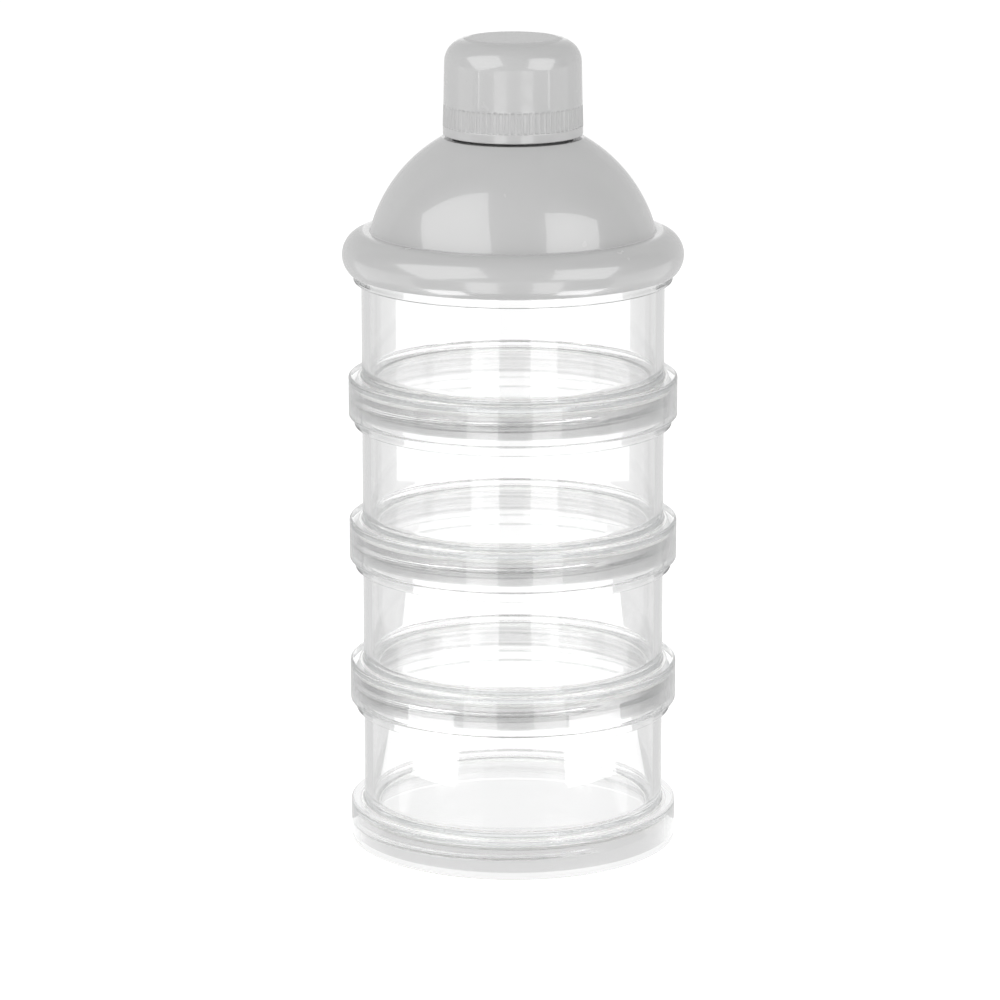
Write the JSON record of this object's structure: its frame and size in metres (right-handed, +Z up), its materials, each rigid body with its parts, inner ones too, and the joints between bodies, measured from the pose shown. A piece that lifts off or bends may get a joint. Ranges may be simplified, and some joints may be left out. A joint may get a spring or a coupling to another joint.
{
  "type": "formula dispenser",
  "caption": "Stackable powdered formula dispenser: clear screw-together containers under a grey domed funnel lid with a pouring spout and a ribbed screw cap.",
  "frame": {"origin": "on the axis of the stack, in the plane of the lowest container's lower edge, where it stands", "axes": "+Z up along the axis of the stack; every thread is right-handed about +Z and starts at +X"},
  "size_m": [0.0734, 0.0734, 0.176],
  "materials": {
    "clear_plastic": "clear polished polypropylene or copolyester",
    "grey_plastic": "light grey, moulded, glossy",
    "silicone": "translucent white silicone, satin"
  },
  "bodies": {
    "container_1": {"container_1": "clear_plastic", "seal_1": "silicone"},
    "seal_2": {"seal_2": "silicone"},
    "container_2": {"container_2": "clear_plastic"},
    "seal_3": {"seal_3": "silicone"},
    "container_3": {"container_3": "clear_plastic"},
    "seal_4": {"seal_4": "silicone"},
    "container_4": {"container_4": "clear_plastic"},
    "lid_seal": {"lid_seal": "silicone"},
    "dome_lid": {"dome_lid": "grey_plastic"},
    "cap_seal": {"cap_seal": "silicone"},
    "cap": {"cap": "grey_plastic"}
  },
  "joints": [
    {"name": "container_2_lift", "type": "slide", "parent": "container_1", "child": "seal_2", "axis": [0, 0, 1], "range_m": [0, 0.00911]},
    {"name": "container_2_turn", "type": "hinge", "parent": "seal_2", "child": "container_2", "pos_m": [0, 0, 0.0315], "axis": [0, 0, 1], "range_deg": [0, 1260]},
    {"name": "container_3_lift", "type": "slide", "parent": "container_2", "child": "seal_3", "axis": [0, 0, 1], "range_m": [0, 0.00911]},
    {"name": "container_3_turn", "type": "hinge", "parent": "seal_3", "child": "container_3", "pos_m": [0, 0, 0.063], "axis": [0, 0, 1], "range_deg": [0, 1260]},
    {"name": "container_4_lift", "type": "slide", "parent": "container_3", "child": "seal_4", "axis": [0, 0, 1], "range_m": [0, 0.00911]},
    {"name": "container_4_turn", "type": "hinge", "parent": "seal_4", "child": "container_4", "pos_m": [0, 0, 0.0945], "axis": [0, 0, 1], "range_deg": [0, 1260]},
    {"name": "dome_lid_lift", "type": "slide", "parent": "container_4", "child": "lid_seal", "axis": [0, 0, 1], "range_m": [0, 0.00911]},
    {"name": "dome_lid_turn", "type": "hinge", "parent": "lid_seal", "child": "dome_lid", "pos_m": [0, 0, 0.126], "axis": [0, 0, 1], "range_deg": [0, 1260]},
    {"name": "cap_lift", "type": "slide", "parent": "dome_lid", "child": "cap_seal", "axis": [0, 0, 1], "range_m": [0, 0.01351]},
    {"name": "cap_turn", "type": "hinge", "parent": "cap_seal", "child": "cap", "pos_m": [0, 0, 0.1553], "axis": [0, 0, 1], "range_deg": [0, 1620]}
  ],
  "couplings": [
    {"joint": "container_2_lift", "follows": "container_2_turn", "m_per_rad": 0.0004138},
    {"joint": "container_3_lift", "follows": "container_3_turn", "m_per_rad": 0.0004138},
    {"joint": "container_4_lift", "follows": "container_4_turn", "m_per_rad": 0.0004138},
    {"joint": "dome_lid_lift", "follows": "dome_lid_turn", "m_per_rad": 0.0004138},
    {"joint": "cap_lift", "follows": "cap_turn", "m_per_rad": 0.00047746}
  ]
}
